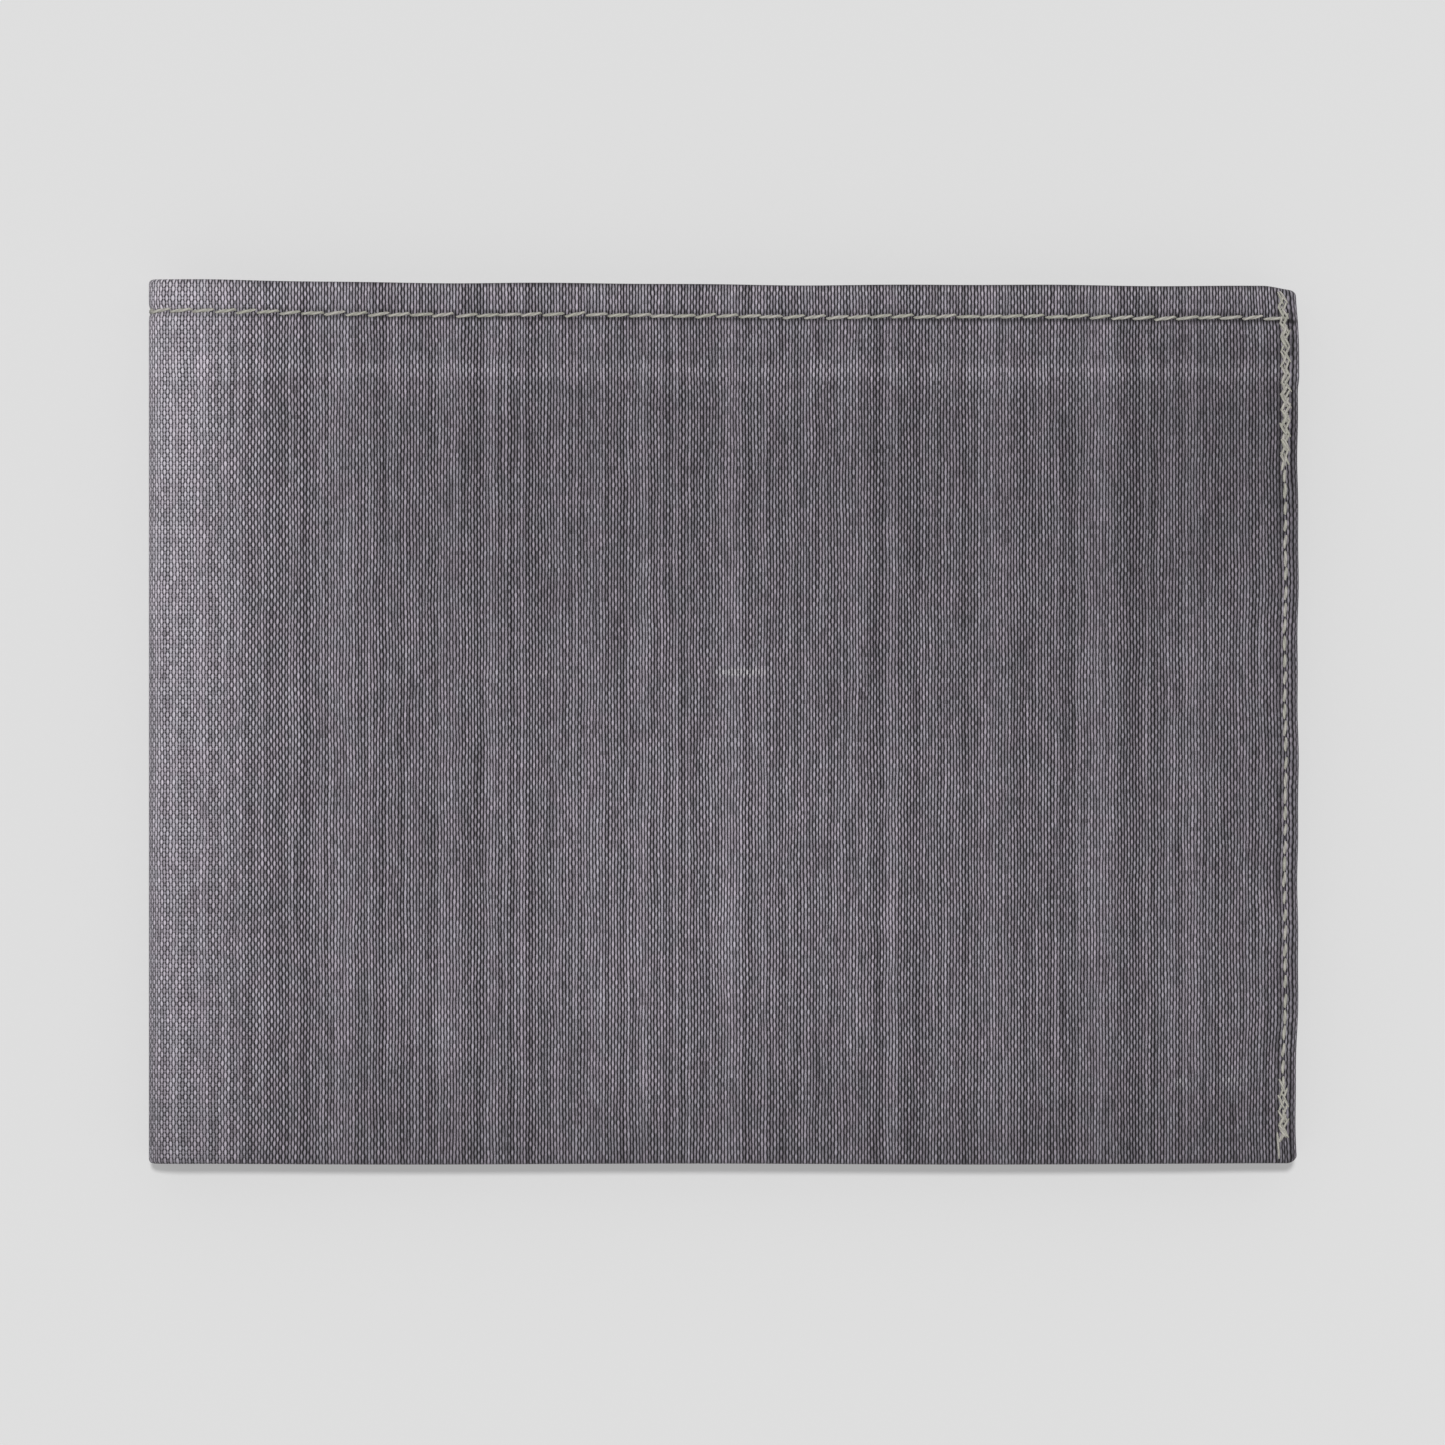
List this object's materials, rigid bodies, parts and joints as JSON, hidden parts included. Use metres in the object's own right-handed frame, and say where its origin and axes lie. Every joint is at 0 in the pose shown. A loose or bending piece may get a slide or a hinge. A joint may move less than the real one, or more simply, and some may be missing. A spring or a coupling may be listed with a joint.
{
  "type": "bifold wallet",
  "caption": "Thin cloth bifold wallet with a stitched note compartment and stepped card pockets, closed on its back, opening flat about a soft spine.",
  "frame": {"origin": "middle of the back cover's outer face, with the wallet closed and lying on it", "axes": "+X from the fold to the free edge, +Y towards the mouth of the note compartment, +Z out of the front cover"},
  "size_m": [0.112, 0.086, 0.0075],
  "materials": {
    "cover_cloth": "matte",
    "lining_cloth": "matte",
    "pocket_cloth": "matte",
    "binding_tape": "matte",
    "thread": "matte"
  },
  "bodies": {
    "back": {"outer_cover_back": "cover_cloth", "top_hem_back": "cover_cloth", "bottom_fold_back": "cover_cloth", "note_lining_back": "lining_cloth", "seam_allowance_back": "cover_cloth", "upper_pocket_edges_back": "pocket_cloth", "upper_pocket_panel_back": "pocket_cloth", "lower_pocket_edges_back": "pocket_cloth", "lower_pocket_panel_back": "pocket_cloth", "pocket_binding_back": "binding_tape", "hem_stitches_back": "thread", "side_stitches_back": "thread", "pocket_stitches_back": "thread"},
    "spine": {"outer_cover_spine": "cover_cloth", "bottom_fold_spine": "cover_cloth", "top_hem_spine": "cover_cloth", "note_lining_spine": "lining_cloth", "hem_stitches_spine": "thread"},
    "front": {"outer_cover_front": "cover_cloth", "top_hem_front": "cover_cloth", "bottom_fold_front": "cover_cloth", "note_lining_front": "lining_cloth", "seam_allowance_front": "cover_cloth", "upper_pocket_edges_front": "pocket_cloth", "upper_pocket_panel_front": "pocket_cloth", "lower_pocket_edges_front": "pocket_cloth", "lower_pocket_panel_front": "pocket_cloth", "pocket_binding_front": "binding_tape", "hem_stitches_front": "thread", "side_stitches_front": "thread", "pocket_stitches_front": "thread"}
  },
  "joints": [
    {"name": "back_fold", "type": "hinge", "parent": "back", "child": "spine", "pos_m": [-0.056, 0, 0], "axis": [0, -1, 0], "range_deg": [0, 90]},
    {"name": "front_fold", "type": "hinge", "parent": "spine", "child": "front", "pos_m": [-0.056, 0, 0.0075], "axis": [0, -1, 0], "range_deg": [0, 90]}
  ],
  "couplings": [
    {"joint": "front_fold", "follows": "back_fold", "ratio": 1}
  ]
}
